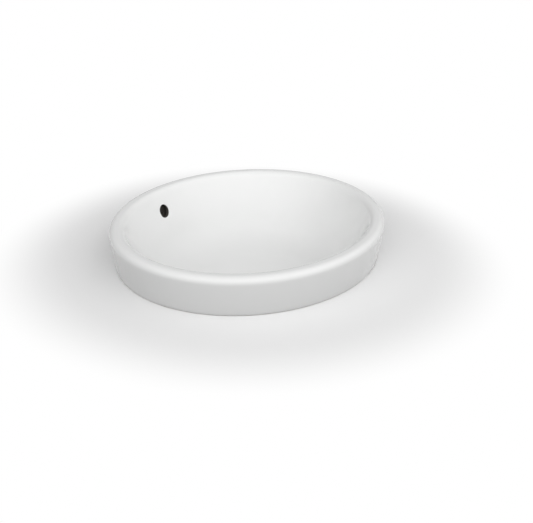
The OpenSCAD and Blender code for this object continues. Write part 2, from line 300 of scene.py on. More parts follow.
def outside_profile():
    shoulder = bend((261.6, BAND_H), (269.6, BAND_H), (274.9, 68.6), (274.6, 61.2), 14)
    band = line((274.6, 61.2), (FOOT_X + 0.22, 1.5), 12)
    foot = fillet((FOOT_X, 0), band[-1], (0, 0), 1.3, 3)
    inner = fillet((SKIRT_X, 0), (300, 0), (SKIRT_X, 50), 1.0, 3)
    return [(x, z, OUT_RATIO) for x, z in shoulder + band[1:-1] + foot + inner]


glazed = inside_profile() + outside_profile()
print("glazed side:", len(glazed), "rings")

# %% [markdown]
# From the foot the profile goes up into the groove behind the band, down the outside of the bowl and
# round the boss. Behind the overflow hole the same points lie further out, which is the swelling.

# %% The hidden side of the profile, plain and swollen
def hidden_profile(out, roof_z):
    def skirt(z):
        return SKIRT_X + BAND_LEAN * z

    arch_z = roof_z - min(6.0, 0.8 * roof_z)
    points = [(x, z, OUT_RATIO) for x, z in line((skirt(3), 3), (skirt(arch_z), arch_z), 6)]
    arch = bend((skirt(arch_z), arch_z), (skirt(roof_z), roof_z), (wall_x(roof_z, out), roof_z),
                (wall_x(arch_z, out), arch_z), 8)
    points += [(x, z, OUT_RATIO + (IN_RATIO - OUT_RATIO) * i / 8) for i, (x, z) in enumerate(arch)][1:]
    end_z = turn_point(1, out)[1]
    points += [(wall_x(z, out), z, IN_RATIO) for _, z in line((0, arch_z), (0, end_z), 8)][1:]
    points += [(*turn_point(1 - i / 18, out), IN_RATIO) for i in range(1, 19)]
    near_x = BOSS_R + 7
    floor = line(turn_point(0, out), (near_x, floor_z(near_x, out)), 8)[1:]
    points += [(x, z, 1 + (IN_RATIO - 1) * smooth((x - near_x) / 50)) for x, z in floor]
    root = bend((near_x, floor_z(near_x, out)), (BOSS_R + 2, floor_z(BOSS_R, out)),
                (BOSS_R, floor_z(BOSS_R, out) - 2), (BOSS_R, floor_z(BOSS_R, out) - 7), 5)[1:]
    side = line(root[-1], (BOSS_R, BOSS_Z + 3), 4)[1:]
    edge = fillet((BOSS_R, BOSS_Z), (BOSS_R, 0), (0, BOSS_Z), 1.6, 3)
    under = line((BOSS_R - 4, BOSS_Z), (HOLE_R + 1, BOSS_Z), 3)
    bore = [(HOLE_R + 0.2, BOSS_Z + 0.3), (HOLE_R, BOSS_Z + 1)] + line((HOLE_R, -116), (HOLE_R, -86), 6)
    bore.append((HOLE_R + 0.2, SEAT_Z - 0.3))
    return points + [(x, z, 1.0) for x, z in root + side + edge + under + bore]


plain = glazed + hidden_profile(CHINA_T, BROW_Z - CHINA_T / 2)
swollen = glazed + hidden_profile(SWELL_T, SWELL_ROOF)
print("closed profile:", len(plain), "rings, and", len(swollen), "in the swelling")

# %% [markdown]
# ## A lathe for ovals, in Geometry Nodes
# The tree reads the profile as a string of points with two attributes, lays a grid with one row for
# each point, and sets each vertex on its oval. Merge by Distance closes the two seams of the grid.
# The same lathe turns the round pieces of the waste later on, with a ratio of 1. Each result becomes a
# plain mesh, its faces are turned outwards, and edges sharper than the crease angle stay sharp.

# %% A helper that starts a Geometry Nodes tree with named inputs
def new_growth(name, sizes):
    tree = bpy.data.node_groups.new(name, "GeometryNodeTree")
    tree.interface.new_socket(name="Geometry", in_out="INPUT", socket_type="NodeSocketGeometry")
    for size, kind in sizes.items():
        tree.interface.new_socket(name=size, in_out="INPUT", socket_type="NodeSocket" + kind)
    tree.interface.new_socket(name="Geometry", in_out="OUTPUT", socket_type="NodeSocketGeometry")
    board = Board(tree)
    start = tree.nodes.new("NodeGroupInput")
    board.given = {socket.name: Wire(board, socket) for socket in start.outputs if socket.name}
    return tree, board


def end_growth(board, shape):
    whole = board.add("GeometryNodeRealizeInstances", None, {"Geometry": shape})
    dressed = board.add("GeometryNodeSetMaterial", None, {
        "Geometry": whole, "Material": board.given["Material"]})
    board.add("NodeGroupOutput", None, {"Geometry": dressed})
    print("tree:", board.tree.name, len(board.tree.nodes), "nodes")


def grown(name, tree, seed, sizes):
    piece = bpy.data.objects.new(name, seed)
    scene.collection.objects.link(piece)
    modifier = piece.modifiers.new("growth", "NODES")
    modifier.node_group = tree
    for item in tree.interface.items_tree:
        if item.item_type == "SOCKET" and item.in_out == "INPUT" and item.name in sizes:
            modifier[item.identifier] = sizes[item.name]
    whole = piece.evaluated_get(bpy.context.evaluated_depsgraph_get())
    mesh = bpy.data.meshes.new_from_object(whole)
    piece.modifiers.clear()
    piece.data = mesh
    mesh.name = name
    mesh.materials.clear()
    mesh.materials.append(sizes["Material"])
    mesh.polygons.foreach_set("material_index", [0] * len(mesh.polygons))
    return piece


# %% The lathe
def oval_lathe():
    tree, board = new_growth("oval_lathe", {
        "Columns": "Int", "Swell Half Width": "Float", "Swell Blend": "Float", "Pitch": "Float",
        "Thread Depth": "Float", "Half Flats": "Float", "Material": "Material"})
    profile, columns = board.given["Geometry"], board.given["Columns"]
    rings = board.add("GeometryNodeAttributeDomainSize", {"component": "MESH"}, {"Geometry": profile})
    grid = board.add("GeometryNodeMeshGrid", None, {
        "Size X": 1.0, "Size Y": 1.0, "Vertices X": rings + 1, "Vertices Y": columns + 1})
    index = board.add("GeometryNodeInputIndex")
    row = (index / (columns + 1)).math("FLOOR")
    ring = row.math("MODULO", rings)
    turn = (index - row * (columns + 1)) / columns

    def read(value, kind):
        return board.add("GeometryNodeSampleIndex", {"data_type": kind, "domain": "POINT"},
                         {"Geometry": profile, "Value": value, "Index": ring})

    def told(name, kind="FLOAT"):
        value = board.add("GeometryNodeInputNamedAttribute", {"data_type": kind}, {"Name": name})
        return read(value, kind)

    plain_x, _, plain_z = board.axes(read(board.add("GeometryNodeInputPosition"), "FLOAT_VECTOR"))
    full_x, _, full_z = board.axes(told("swollen", "FLOAT_VECTOR"))
    ratio = told("ratio")
    across, along = (turn * math.tau).math("COSINE"), (turn * math.tau).math("SINE")
    half, blend = board.given["Swell Half Width"], board.given["Swell Blend"]
    behind = along.math("GREATER_THAN", 0.0)
    swell = behind - behind * board.soft_step((plain_x * across).math("ABSOLUTE"), half, half + blend)
    x = plain_x + (full_x - plain_x) * swell
    z = plain_z + (full_z - plain_z) * swell
    climb = (z / board.given["Pitch"] - turn) * math.tau
    groove = 0.5 - 0.5 * climb.math("COSINE")
    x = x - groove * told("threaded") * board.given["Thread Depth"]
    side = (turn * 6.0).math("FRACT") - 0.5
    x = x.math("MINIMUM", board.given["Half Flats"] / (side * (math.tau / 6)).math("COSINE"))
    place = board.add("ShaderNodeCombineXYZ", None, {0: x * across, 1: x * ratio * along, 2: z})
    moved = board.add("GeometryNodeSetPosition", None, {"Geometry": grid, "Position": place})
    closed = board.add("GeometryNodeMergeByDistance", None, {"Geometry": moved, "Distance": 0.005 * MM})
    end_growth(board, board.add("GeometryNodeSetShadeSmooth", None, {"Geometry": closed}))
    return tree


lathe = oval_lathe()


# %% Turn a profile into a piece
def profile_mesh(name, points, swollen=None, threaded=None):
    mesh = bpy.data.meshes.new(name + "_profile")
    edges = [(i, i + 1) for i in range(len(points) - 1)]
    mesh.from_pydata([(p[0] * MM, 0, p[1] * MM) for p in points], edges, [])
    full = mesh.attributes.new("swollen", "FLOAT_VECTOR", "POINT")
    full.data.foreach_set("vector", [v for p in (swollen or points) for v in (p[0] * MM, 0, p[1] * MM)])
    mesh.attributes.new("ratio", "FLOAT", "POINT").data.foreach_set(
        "value", [p[2] if len(p) > 2 else 1.0 for p in points])
    mesh.attributes.new("threaded", "FLOAT", "POINT").data.foreach_set(
        "value", [threaded(p) if threaded else 0.0 for p in points])
    return mesh


def face_outwards(mesh, crease=32):
    work = bmesh.new()
    work.from_mesh(mesh)
    bmesh.ops.recalc_face_normals(work, faces=work.faces)
    if work.calc_volume(signed=True) < 0:
        bmesh.ops.reverse_faces(work, faces=work.faces)
    bmesh.ops.delete(work, geom=[edge for edge in work.edges if not edge.link_faces], context="EDGES")
    open_edges = sum(1 for edge in work.edges if not edge.is_manifold)
    work.to_mesh(mesh)
    work.free()
    mesh.set_sharp_from_angle(angle=math.radians(crease))
    print(mesh.name, "faces", len(mesh.polygons), "open edges", open_edges)


def turned(name, points, material, columns=96, crease=32, swollen=None, threaded=None, **sizes):
    given = {"Columns": columns, "Swell Half Width": 0.0, "Swell Blend": 0.001, "Pitch": 0.001,
             "Thread Depth": 0.0, "Half Flats": 1.0, "Material": material}
    given.update((size.replace("_", " ").title(), value * MM) for size, value in sizes.items())
    piece = grown(name, lathe, profile_mesh(name, points, swollen, threaded), given)
    face_outwards(piece.data, crease)
    return piece


CHINA_CREASE = 60
china = turned("china", plain, glaze, columns=400, crease=CHINA_CREASE, swollen=swollen,
               swell_half_width=20, swell_blend=18)

# %% [markdown]
# ## The overflow hole
# The hole goes straight back through the wall of the bowl, and its edge is rounded by the glaze. A
# Boolean would leave long thin faces that show in a mirror-like glaze. So a square of the grid is
# taken out, rings of vertices lead from its edge to the circle along the true surface, and more rings
# roll over the lip into the tube.

# %% Roll the lip of the overflow hole
def bowl_y(x, z):
    return IN_RATIO * math.sqrt(max(0.0, wall_x(z) ** 2 - x * x))


def cut_overflow(mesh, lip=3.6, lip_depth=2.0, depth=15.0, half_width=19.5, half_height=18.5):
    work = bmesh.new()
    work.from_mesh(mesh)

    def inside(vert):
        x, y, z = (v / MM for v in vert.co)
        near = abs(x) < half_width and abs(z - OVERFLOW_Z) < half_height
        return near and y > 0 and abs(y - bowl_y(x, z)) < 0.4

    def angle_of(vert):
        return math.atan2(vert.co.z / MM - OVERFLOW_Z, vert.co.x / MM)

    def reach_of(vert):
        return math.hypot(vert.co.z / MM - OVERFLOW_Z, vert.co.x / MM)

    def join(before, after, lining):
        for i in range(len(after)):
            k = (i + 1) % len(after)
            wall = work.faces.new((before[i], before[k], after[k], after[i]))
            wall.smooth, wall.material_index = True, lining

    square = [face for face in work.faces if all(inside(v) for v in face.verts)]
    bmesh.ops.delete(work, geom=square, context="FACES")
    edge = {v for e in work.edges if e.is_boundary for v in e.verts}
    loop = sorted(edge, key=angle_of)
    spots = [(angle_of(v), reach_of(v)) for v in loop]
    steps = [(i / 6, 0.0, None) for i in range(1, 7)]
    steps += [(1.0, lip_depth * (1 - math.cos(a)), OVERFLOW_R + lip * (1 - math.sin(a)))
              for a in (math.radians(15 * i) for i in range(1, 7))]
    tube_depths = (2.6, 5.0, 8.5)
    steps += [(1.0, deep, OVERFLOW_R) for deep in tube_depths]
    for share, deep, radius in steps:
        ring = []
        for angle, far in spots:
            r = radius or far + (OVERFLOW_R + lip - far) * share
            x, z = r * math.cos(angle), OVERFLOW_Z + r * math.sin(angle)
            ring.append(work.verts.new((x * MM, (bowl_y(x, z) + deep) * MM, z * MM)))
        # Faces deeper than the lip take the second slot, the clay painted near-black as shade.
        join(loop, ring, int(deep > lip_depth))
        loop = ring
    end_y = (bowl_y(0, OVERFLOW_Z) + depth) * MM
    ring = [work.verts.new((v.co.x, end_y, v.co.z)) for v in loop]
    join(loop, ring, 1)
    work.faces.new(ring).material_index = 1
    work.to_mesh(mesh)
    work.free()
    print("overflow: took out", len(square), "faces, lip of", len(spots), "sides")


# %% [markdown]
# Behind the hole the water runs down a flat channel inside the casting to a port in the waste's bore.
# Nobody sees into it but through the hole, so here a Boolean is right: it takes the channel out of the
# china exactly. The glaze never reaches in there, and the raw clay is painted nearly black, as painted
# shade for the dark inside of the channel.

# %% Raw clay for the inside of the channel, painted nearly black as shade
def painted_shade_clay():
    material, board = new_material("painted_shade_clay")
    clay_blotches = noise(board, 60.0, 4.0)
    # The near-black tones are painted shade for the dark channel; the noise only varies them at random.
    colour = board.mix(clay_blotches, (0.035, 0.033, 0.030, 1), (0.085, 0.078, 0.068, 1))
    grain = bump(board, noise(board, 900.0, 3.0), 0.15 * MM, 0.6)
    return finish_material(material, board, {
        "Base Color": colour,
        "Roughness": 0.7 + 0.25 * clay_blotches,
        "Normal": grain,
        "Specular IOR Level": 0.2,
    })


# %% Sizes of the channel, and its outline from the side
CHANNEL_IN, CHANNEL_OUT, CHANNEL_TOP, CHANNEL_W = 8.0, 16.0, 47.5, 34.0
PORT_Y, PORT_TOP, PORT_LOW = 11.25, -93.0, -105.0


def channel_line(out):
    points = [(wall_x(CHANNEL_TOP, out), CHANNEL_TOP)]
    points += [turn_point(1 - i / 12, out) for i in range(13)]
    points.append((60.0, floor_z(60, out)))
    return [(x * IN_RATIO, z) for x, z in points]


port = [(PORT_Y, PORT_TOP), (PORT_Y, PORT_LOW)]
way_down = channel_line(CHANNEL_IN) + port + channel_line(CHANNEL_OUT)[::-1]
print("channel:", len(way_down), "corners")


# %% Take the channel out of the china
def prism_across(name, outline, width):
    mesh = bpy.data.meshes.new(name)
    count = len(outline)
    verts = [(side * width / 2 * MM, y * MM, z * MM) for side in (-1, 1) for y, z in outline]
    faces = [tuple(range(count)), tuple(range(2 * count - 1, count - 1, -1))]
    faces += [(i, i + count, (i + 1) % count + count, (i + 1) % count) for i in range(count)]
    mesh.from_pydata(verts, [], faces)
    return mesh


def combine(piece, tool, operation, crease=32):
    joint = piece.modifiers.new("joint", "BOOLEAN")
    joint.operation, joint.solver, joint.object = operation, "EXACT", tool
    whole = piece.evaluated_get(bpy.context.evaluated_depsgraph_get())
    mesh = bpy.data.meshes.new_from_object(whole)
    piece.modifiers.clear()
    piece.data = mesh
    mesh.name = piece.name
    bpy.data.objects.remove(tool)
    face_outwards(mesh, crease)


cut_overflow(china.data)
# The tube and the channel are lined with painted shade: clay coloured nearly black.
shade_lining = painted_shade_clay()
china.data.materials.append(shade_lining)
channel = prism_across("overflow_channel", way_down, CHANNEL_W)
for lining in (glaze, shade_lining):
    channel.materials.append(lining)
channel.polygons.foreach_set("material_index", [1] * len(channel.polygons))
face_outwards(channel)
channel_tool = bpy.data.objects.new("overflow_channel", channel)
scene.collection.objects.link(channel_tool)
combine(china, channel_tool, "DIFFERENCE", CHINA_CREASE)


# %% Hand a piece over to the frame
def seat(piece, node, body="basin"):
    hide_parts(node)
    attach(piece, body)


seat(china, "basin")

# %% [markdown]
# ## The finishes of the waste
# The waste is seen when the basin is lifted out or looked at from below. Its metal pieces are turned on
# a lathe, and the tool leaves fine rings round the axis. Noise that reads only the distance from the
# axis and the height gives those rings on every turned face, without a picture and without a seam.

# %% Rings from the lathe's tool
def tool_rings(board, scale=2400.0):
    x, y, z = board.axes(board.place)
    far = (x * x + y * y).math("SQRT")
    round_axis = board.add("ShaderNodeCombineXYZ", None, {0: far, 1: 0.0, 2: z})
    return noise(board, scale, 3.0, 0.6, round_axis)


# %% [markdown]
# Chrome plate is a mirror with a cool tint. What shows that it is used is not its colour but what lies
# on it: smears that blur it and dried drops of hard water.

# %% Chrome plate with smears and dried drops
def chrome_plate():
    material, board = new_material("chrome_plate")
    smear = noise(board, 48.0, 4.0, 0.6)
    drops = board.soft_step(noise(board, 240.0, 2.0), 0.60, 0.70)
    plate = board.mix(smear, (0.76, 0.77, 0.79, 1), (0.86, 0.87, 0.88, 1))
    return finish_material(material, board, {
        "Base Color": board.mix(0.4 * drops, plate, (0.66, 0.65, 0.62, 1)),
        "Metallic": 1.0,
        "Roughness": 0.05 + 0.08 * smear + 0.20 * drops,
        "Normal": bump(board, tool_rings(board), 0.003 * MM, 0.3),
    })


# %% [markdown]
# Bare brass goes brown where hands and water touch it. The tint and the blur come from one pattern, so
# the dull patches are the brown ones.

# %% Bare brass, turned and tarnished
def bare_brass():
    material, board = new_material("bare_brass")
    tarnish = board.soft_step(noise(board, 85.0, 5.0, 0.65), 0.3, 0.75)
    return finish_material(material, board, {
        "Base Color": board.mix(tarnish, (0.80, 0.60, 0.29, 1), (0.46, 0.31, 0.14, 1)),
        "Metallic": 1.0,
        "Roughness": 0.20 + 0.26 * tarnish,
        "Normal": bump(board, tool_rings(board), 0.02 * MM, 0.6),
    })


# %% [markdown]
# The plunger is turned from stainless bar. It is greyer than chrome and keeps its tool marks.

# %% Turned stainless steel
def turned_steel():
    material, board = new_material("turned_steel")
    film = noise(board, 160.0, 3.0)
    rings = tool_rings(board, 3200.0)
    return finish_material(material, board, {
        "Base Color": board.mix(film, (0.56, 0.55, 0.52, 1), (0.68, 0.67, 0.64, 1)),
        "Metallic": 1.0,
        "Roughness": 0.24 + 0.14 * rings,
        "Normal": bump(board, rings, 0.012 * MM, 0.5),
    })


# %% [markdown]
# Spring wire is drawn through a die, which leaves fine lines along it, and it is dull from the heat of
# its setting. The lines lie round the coil, so again height and distance from the axis drive them.

# %% Drawn spring wire
def spring_wire():
    material, board = new_material("spring_wire")
    heat = noise(board, 320.0, 2.0)
    lines = tool_rings(board, 6000.0)
    return finish_material(material, board, {
        "Base Color": board.mix(heat, (0.46, 0.45, 0.44, 1), (0.60, 0.59, 0.57, 1)),
        "Metallic": 1.0,
        "Roughness": 0.28 + 0.16 * lines,
        "Normal": bump(board, lines, 0.006 * MM, 0.5),
    })


# %% [markdown]
# Acetal is a waxy, off-white plastic with a fine spark-eroded grain from its mould. Hard water turns it
# a little yellow in patches.

# %% Off-white moulded acetal
def white_acetal():
    material, board = new_material("white_acetal")
    age = noise(board, 95.0, 3.0)
    grain = noise(board, 2600.0, 2.0)
    return finish_material(material, board, {
        "Base Color": board.mix(age, (0.83, 0.81, 0.75, 1), (0.76, 0.72, 0.62, 1)),
        "Roughness": 0.38 + 0.14 * grain,
        "Normal": bump(board, grain, 0.02 * MM, 0.5),
        "Specular IOR Level": 0.45,
    })


# %% [markdown]
# The grey pieces rub on each other. Rubbed acetal turns glossy in places, so the sheen varies more than
# the colour does.

# %% Grey moulded acetal, rubbed bright in places
def grey_acetal():
    material, board = new_material("grey_acetal")
    rubbed = board.soft_step(noise(board, 420.0, 3.0), 0.4, 0.7)
    return finish_material(material, board, {
        "Base Color": board.mix(rubbed, (0.26, 0.28, 0.30, 1), (0.33, 0.35, 0.37, 1)),
        "Roughness": 0.52 - 0.24 * rubbed,
        "Normal": bump(board, noise(board, 2600.0, 2.0), 0.02 * MM, 0.5),
    })


# %% [markdown]
# Rubber washers come dusted with chalk so that they don't stick together. It stays as a pale bloom in
# patches over the black.

# %% Black rubber with a bloom of chalk
def black_rubber():
    material, board = new_material("black_rubber")
    bloom = board.soft_step(noise(board, 130.0, 5.0, 0.7), 0.45, 0.8)
    grain = noise(board, 1500.0, 3.0)
    return finish_material(material, board, {
        "Base Color": board.mix(bloom, (0.022, 0.022, 0.023, 1), (0.085, 0.083, 0.080, 1)),
        "Roughness": 0.55 + 0.30 * bloom,
        "Normal": bump(board, grain, 0.05 * MM, 0.6),
        "Specular IOR Level": 0.4,
    })


chrome, brass, steel, wire = chrome_plate(), bare_brass(), turned_steel(), spring_wire()
acetal, grey, rubber = white_acetal(), grey_acetal(), black_rubber()

# %% [markdown]
# ## What repeats round the axis
# The waste has four windows and three arms, the plunger four keys, the rotor eight teeth. Each set is
# one bar with rounded edges, instanced round the axis by Geometry Nodes and then joined to its piece or
# cut out of it. Typing eight boxes would say less and be harder to change.

# %% A ring of bars
def ring_of_bars():
    tree, board = new_growth("ring_of_bars", {
        "Count": "Int", "Start": "Float", "Inner": "Float", "Outer": "Float", "Width": "Float",
        "Low": "Float", "High": "Float", "Corner": "Float", "Material": "Material"})
    given = board.given
    middle = (given["Low"] + given["High"]) / 2.0
    ends = [board.add("ShaderNodeCombineXYZ", None, {0: given[side], 1: 0.0, 2: middle})
            for side in ("Inner", "Outer")]
    path = board.add("GeometryNodeCurvePrimitiveLine", None, {"Start": ends[0], "End": ends[1]})
    section = board.add("GeometryNodeCurvePrimitiveQuadrilateral", None, {
        "Width": given["Width"], "Height": given["High"] - given["Low"]})
    soft = board.add("GeometryNodeFilletCurve", {"mode": "POLY"}, {
        "Curve": section, "Count": 3, "Radius": given["Corner"], "Limit Radius": True})
    bar = board.add("GeometryNodeCurveToMesh", None, {
        "Curve": path, "Profile Curve": soft, "Fill Caps": True})
    spots = board.add("GeometryNodePoints", None, {"Count": given["Count"]})
    turn = given["Start"] + board.add("GeometryNodeInputIndex") * math.tau / given["Count"]
    about_z = board.add("ShaderNodeCombineXYZ", None, {2: turn})
    way = board.add("FunctionNodeEulerToRotation", None, {0: about_z})
    end_growth(board, board.add("GeometryNodeInstanceOnPoints", None, {
        "Points": spots, "Instance": bar, "Rotation": way}))
    return tree


bars = ring_of_bars()


def bars_round(name, count, material, start=0.0, **sizes):
    given = {"Count": count, "Start": math.radians(start), "Material": material}
    given.update((size.title(), value * MM) for size, value in sizes.items())
    tool = grown(name, bars, bpy.data.meshes.new(name + "_seed"), given)
    face_outwards(tool.data)
    return tool


# %% [markdown]
# ## The waste
# A brass casting, turned, threaded and plated: a dished flange, a tube with a pipe thread for the nut,
# a relief and the outlet's thread. A real thread is a helix. The lathe tree cuts it by drawing each
# vertex in by a wave of its height and its turn, which is what a threading tool does, and fades it out
# at each end as a die does.

# %% Sizes of the waste, as in the drawing
THREAD_R, BORE_R, FLANGE_R, DISH_R = 20.95, 18.0, 32.5, 30.5
OUTLET_Z, FLANGE_Z, THREAD_PITCH, THREAD_DEPTH = -175.5, -83.5, 2.309, 1.479
THREADS = ((-174.9, -149.6), (-147.4, -86.5))
DISH_FALL = 0.2


def dish_z(r):
    return FLOOR_Z - (DISH_R - r) * DISH_FALL


def in_thread(point, run_out=2.0):
    if abs(point[0] - THREAD_R) > 0.05:
        return 0.0
    return max(smooth((point[1] - low) / run_out) * smooth((high - point[1]) / run_out)
               for low, high in THREADS)


def threaded_line(low, high, radius=THREAD_R, steps_per_turn=10):
    return line((radius, low), (radius, high), round((high - low) / THREAD_PITCH * steps_per_turn))


# %% Turn the waste
def waste_profile():
    points = [(BORE_R + 0.5, OUTLET_Z), (THREAD_R - 1, OUTLET_Z)]
    points += threaded_line(OUTLET_Z + 1, -149.5)
    points += [(THREAD_R - 0.8, -149.3), (THREAD_R - 0.8, -147.7)]
    points += threaded_line(-147.5, FLANGE_Z - 0.6)
    points += bend((THREAD_R, -83.9), (THREAD_R, -83.5), (21.1, FLANGE_Z), (21.5, FLANGE_Z), 3)
    points += bend((FLANGE_R - 0.5, FLANGE_Z), (FLANGE_R - 0.1, FLANGE_Z),
                   (FLANGE_R, -83.4), (FLANGE_R, -83.0), 3)
    points += bend((FLANGE_R, -81.0), (FLANGE_R, -79.9),
                   (FLANGE_R - 0.5, FLOOR_Z), (FLANGE_R - 1.2, FLOOR_Z), 6)
    points += bend((DISH_R + 0.4, FLOOR_Z), (DISH_R, FLOOR_Z),
                   (DISH_R - 0.2, dish_z(DISH_R - 0.2)), (29.8, dish_z(29.8)), 3)
    points += line((28.5, dish_z(28.5)), (20.8, dish_z(20.8)), 6)
    points += bend((20.4, dish_z(20.4)), (19.9, dish_z(19.9)), (19.4, -82.3), (19.0, -82.8), 3)
    points += bend((18.5, -83.4), (18.1, -83.9), (BORE_R, -84.3), (BORE_R, -85.0), 3)
    points += line((BORE_R, -88), (BORE_R, -127.5), 10)
    points += [(BORE_R + 0.8, -127.6), (BORE_R + 0.8, -129.4), (BORE_R, -129.5)]
    return points + line((BORE_R, -131), (BORE_R, OUTLET_Z + 0.5), 6)


WASTE_CREASE = 58
waste = turned("waste", waste_profile(), chrome, columns=128, crease=WASTE_CREASE, threaded=in_thread,
               pitch=THREAD_PITCH, thread_depth=THREAD_DEPTH)

# %% Cut its four windows and give it the hub and its arms
windows = bars_round("windows", 4, chrome, inner=16, outer=24, width=12,
                     low=-105.5, high=-92.5, corner=1.2)
combine(waste, windows, "DIFFERENCE", WASTE_CREASE)
arms = bars_round("arms", 3, chrome, start=30, inner=8.4, outer=19, width=3.5,
                  low=-90.5, high=-86, corner=0.8)
combine(waste, arms, "UNION", WASTE_CREASE)
hub_profile = [(7.0, -90.3), (7.2, -90.5), (9.2, -90.5), (9.5, -90.2),
               (9.5, -86.3), (9.2, -86), (7.2, -86), (7, -86.2)]
combine(waste, turned("hub", hub_profile, chrome), "UNION", WASTE_CREASE)
seat(waste, "waste_body")

# %% [markdown]
# ## The rings that seal and clamp it
# From the flange down: a thin gasket, the china, a thick tapered gasket, a hard washer that lets the
# nut turn without dragging the rubber, and the nut. Rubber that has been moulded and squeezed has no
# sharp edge, so its corners are round. The nut's thread has the same wave as the waste's.

# %% Gaskets and washer
def ring_profile(inner, outer, low, high, corner, taper=0.0):
    points = fillet((inner, low), (inner, high), (outer, low), corner, 3)
    points += fillet((outer - taper, low), (inner, low), (outer, (low + high) / 2), corner, 3)
    if taper:
        points += fillet((outer, (low + high) / 2), (outer - taper, low), (outer, high), corner, 3)
    points += fillet((outer, high), (outer, low), (inner, high), corner, 3)
    return points + fillet((inner, high), (outer, high), (inner, low), corner, 3)


seat(turned("flange_ring", ring_profile(21.25, 31, -85, -83.5, 0.5), rubber), "flange_gasket")
seat(turned("boss_ring", ring_profile(21.1, 31, -129, -123, 0.9, 3.5), rubber), "boss_gasket")
seat(turned("slip_ring", ring_profile(21.1, 29.5, -130.5, -129, 0.25), acetal), "slip_washer")


# %% The nut, turned, threaded and cut to six flats
NUT_LOW, NUT_HIGH, NUT_FLATS, NUT_BORE_R = -140.5, -130.5, 54.0, THREAD_R + 0.04


def nut_profile():
    bore, corner = NUT_BORE_R, NUT_FLATS / 2 / math.cos(math.pi / 6)
    points = threaded_line(NUT_HIGH - 0.7, NUT_LOW + 0.7, bore)
    points += [(bore + 0.6, NUT_LOW)]
    points += line((NUT_FLATS / 2 - 0.6, NUT_LOW), (NUT_FLATS / 2, NUT_LOW + 0.05), 1)
    points += line((NUT_FLATS / 2 + 0.5, NUT_LOW + 0.3), (corner + 0.2, NUT_LOW + 2.1), 10)
    points += line((corner + 0.2, NUT_LOW + 2.8), (corner + 0.2, NUT_HIGH - 0.5), 4)
    return points + [(corner - 0.4, NUT_HIGH - 0.05), (corner - 1, NUT_HIGH), (bore + 0.6, NUT_HIGH)]


def in_nut(point, run_out=1.6):
    if abs(point[0] - NUT_BORE_R) > 0.02:
        return 0.0
    return smooth((point[1] - NUT_LOW) / run_out) * smooth((NUT_HIGH - point[1]) / run_out)


nut = turned("nut", nut_profile()[::-1], brass, columns=192, crease=40, threaded=in_nut,
             pitch=THREAD_PITCH, thread_depth=THREAD_DEPTH, half_flats=NUT_FLATS / 2)
seat(nut, "backnut")

# %% [markdown]
# ## The cartridge
# The cup, the collar, the rotor, the plunger and the spring are the push button. A press turns the
# rotor by one step of its teeth, which holds the plug down or lets it rise.

# %% The cup and the collar
def cup_profile():
    points = [(1.5, -124.3), (1.8, -124.5)]
    points += fillet((6.98, -124.5), (0, -124.5), (6.98, -100), 0.9, 4)
    points += line((6.98, -122), (6.98, -86.2), 8)
    points += [(7.1, -86.0), (8.7, -86.0), (9.0, -85.7), (9.0, -84.9)]
    points += fillet((9.0, -84.5), (9.0, -86), (0, -84.5), 0.4, 3)
    points += [(5.9, -84.5), (5.5, -84.8)] + line((5.5, -88), (5.5, -121.5), 8)
    points += fillet((5.5, -122.5), (5.5, -100), (0, -122.5), 0.6, 3)
    return points + [(1.8, -122.5), (1.5, -122.7)]


seat(turned("cup", cup_profile(), acetal), "cartridge_housing")
collar = turned("collar", ring_profile(3.08, 5.48, -94.5, -84.5, 0.25), grey)
keyways = bars_round("keyways", 4, grey, inner=2, outer=4.48, width=1.56, low=-96, high=-83, corner=0.1)
combine(collar, keyways, "DIFFERENCE")
seat(collar, "guide_sleeve")


# %% The plunger with its four keys, and the rotor with its eight teeth
def plunger_profile():
    points = [(0, -104.48), (1.5, -104.48), (1.8, -104.2), (1.8, -98.5), (1.9, -98.4)]
    points += [(4.7, -98.4), (4.9, -98.2), (4.9, -95.0), (4.7, -94.8), (3.15, -94.8), (3.0, -94.6)]
    return points + line((3.0, -93), (3.0, -69.2), 10) + [(2.6, -68.75), (0, -68.75)]


rod = turned("rod", plunger_profile(), steel, columns=64)
keys = bars_round("keys", 4, steel, inner=2, outer=4.4, width=1.4, low=-95.3, high=-85, corner=0.2)
combine(rod, keys, "UNION")
seat(rod, "plunger", "plug")
rotor = turned("rotor_ring", ring_profile(1.88, 4.4, -102.48, -98.48, 0.15), grey, columns=64)
teeth = bars_round("teeth", 8, grey, inner=3.2, outer=5, width=1.4,
                   low=-102.48, high=-99.48, corner=0.2)
combine(rotor, teeth, "UNION")
seat(rotor, "cam_rotor", "rotor")


# %% [markdown]
# The spring is one wire that follows a rule: seven turns, the first and the last wound close. Its path
# is a string of points that Geometry Nodes lifts on a helix and gives the wire's round section.

# %% The coil spring
SPRING_TURNS, STEPS_PER_TURN = 7, 48


